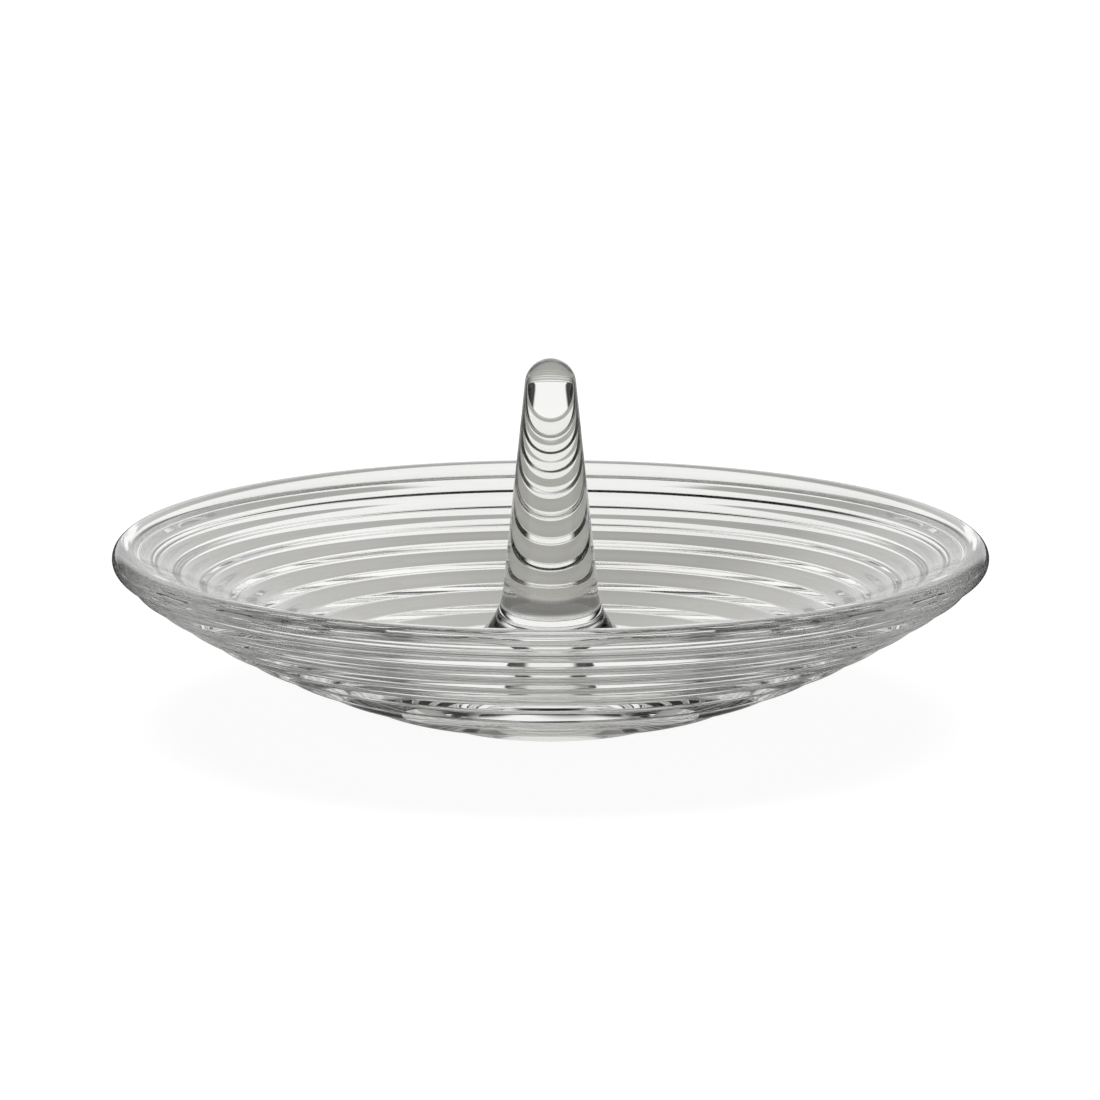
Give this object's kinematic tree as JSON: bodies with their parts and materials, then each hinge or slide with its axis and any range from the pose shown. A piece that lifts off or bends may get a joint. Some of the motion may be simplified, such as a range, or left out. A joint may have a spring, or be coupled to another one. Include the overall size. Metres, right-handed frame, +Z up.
{
  "type": "ring dish",
  "caption": "Shallow clear glass dish with graded rings under a smooth bowl and a round-tipped cone post at its centre that holds finger rings.",
  "frame": {"origin": "centre of the flat foot, on the plane the dish rests on", "axes": "+Z up along the axis of the dish and the post; the dish is round, so X and Y have no special direction"},
  "size_m": [0.12, 0.12, 0.0498],
  "materials": {
    "glass": "polished clear",
    "adhesive": "clear"
  },
  "bodies": {
    "root": {"dish": "glass", "ring_post": "glass", "bond_film": "adhesive"}
  },
  "joints": []
}
